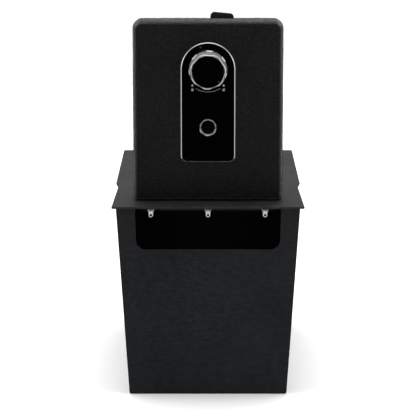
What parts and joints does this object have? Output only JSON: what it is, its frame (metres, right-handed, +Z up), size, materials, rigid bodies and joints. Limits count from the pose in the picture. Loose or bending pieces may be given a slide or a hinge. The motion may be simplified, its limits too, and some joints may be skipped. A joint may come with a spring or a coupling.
{
  "type": "vehicle console safe",
  "caption": "Steel tub safe that hangs in a vehicle console bin, with a flat flange, an access window and a padded lid carrying a knob and a fingerprint reader, lid open.",
  "frame": {"origin": "middle of the bounding box in plan, on the plane that the tub stands on", "axes": "+Z up out of the tub, the open lid's lock panel faces -Y, +X to the right of someone facing the panel"},
  "size_m": [0.203, 0.3124, 0.4048],
  "materials": {
    "steel_black": "fine textured black powder coat",
    "liner_foam": "closed-cell foam mat",
    "zinc_plate": "bright zinc plated",
    "lid_board": "raw board, hidden",
    "carpet_black": "needle-felt automotive carpet",
    "tab_black": "flexible webbing, matt",
    "chrome_trim": "bright chrome plate",
    "panel_gloss": "polished black",
    "print_grey": "printed light grey",
    "led_lens": "smoked lens",
    "sensor_dark": "dark reader glass",
    "moulding_black": "fine spark texture",
    "brass_bush": "machined",
    "coil_grey": "taped coil in a zinc frame",
    "board_green": "solder mask",
    "battery_case": "plain sleeve"
  },
  "bodies": {
    "safe_body": {"flange_plate": "steel_black", "tub_front_panel": "steel_black", "tub_rear_panel": "steel_black", "tub_side_left": "steel_black", "tub_side_right": "steel_black", "tub_floor": "steel_black", "floor_liner": "liner_foam", "mouth_lip": "steel_black", "strike_plate": "steel_black", "hinge_body_leaf": "zinc_plate", "hinge_body_rivets": "zinc_plate", "hinge_pin": "zinc_plate", "key_hanger_left": "zinc_plate", "key_hanger_centre": "zinc_plate", "key_hanger_right": "zinc_plate", "key_hanger_rivets": "zinc_plate"},
    "lid": {"lid_plate": "steel_black", "lid_core": "lid_board", "lid_carpet": "carpet_black", "hinge_lid_leaf": "zinc_plate", "hinge_lid_screws": "zinc_plate", "pull_tab": "tab_black", "lock_bezel": "chrome_trim", "lock_faceplate": "panel_gloss", "dial_marks": "print_grey", "status_led": "led_lens", "sensor_bezel": "chrome_trim", "sensor_window": "sensor_dark", "sensor_module": "moulding_black", "lock_housing": "moulding_black", "housing_screws": "zinc_plate", "spindle_bush": "brass_bush", "lock_base_plate": "zinc_plate", "bolt_bridge": "zinc_plate", "bolt_rails": "zinc_plate", "solenoid_body": "coil_grey", "plunger_spring": "zinc_plate", "circuit_board": "board_green", "board_components": "moulding_black", "board_spacers": "zinc_plate", "battery_tray": "moulding_black", "battery": "battery_case", "battery_snap": "moulding_black", "mech_cover": "moulding_black", "mech_cover_screws": "zinc_plate"},
    "knob": {"knob_ring": "chrome_trim", "knob_cap": "panel_gloss", "knob_pointer": "print_grey", "spindle": "zinc_plate", "pinion": "brass_bush", "spindle_clip": "steel_black"},
    "bolt": {"locking_bolt": "zinc_plate"},
    "plunger": {"solenoid_plunger": "zinc_plate", "plunger_clip": "zinc_plate"},
    "battery_hatch": {"battery_door": "moulding_black"}
  },
  "joints": [
    {"name": "lid_hinge", "type": "hinge", "parent": "safe_body", "child": "lid", "pos_m": [0, -0.09925, 0.2038], "axis": [-1, 0, 0], "range_deg": [0, 90]},
    {"name": "knob_turn", "type": "hinge", "parent": "lid", "child": "knob", "pos_m": [0, -0.12675, 0.3469], "axis": [0, 1, 0], "range_deg": [0, 88]},
    {"name": "bolt_throw", "type": "slide", "parent": "lid", "child": "bolt", "axis": [0, 0, 1], "range_m": [0, 0.0151]},
    {"name": "plunger_slide", "type": "slide", "parent": "lid", "child": "plunger", "axis": [1, 0, 0], "range_m": [0, 0.0045]},
    {"name": "battery_door_slide", "type": "slide", "parent": "lid", "child": "battery_hatch", "axis": [0, 0, -1], "range_m": [0, 0.0135]}
  ],
  "couplings": [
    {"joint": "bolt_throw", "follows": "knob_turn", "m_per_rad": 0.0098}
  ]
}
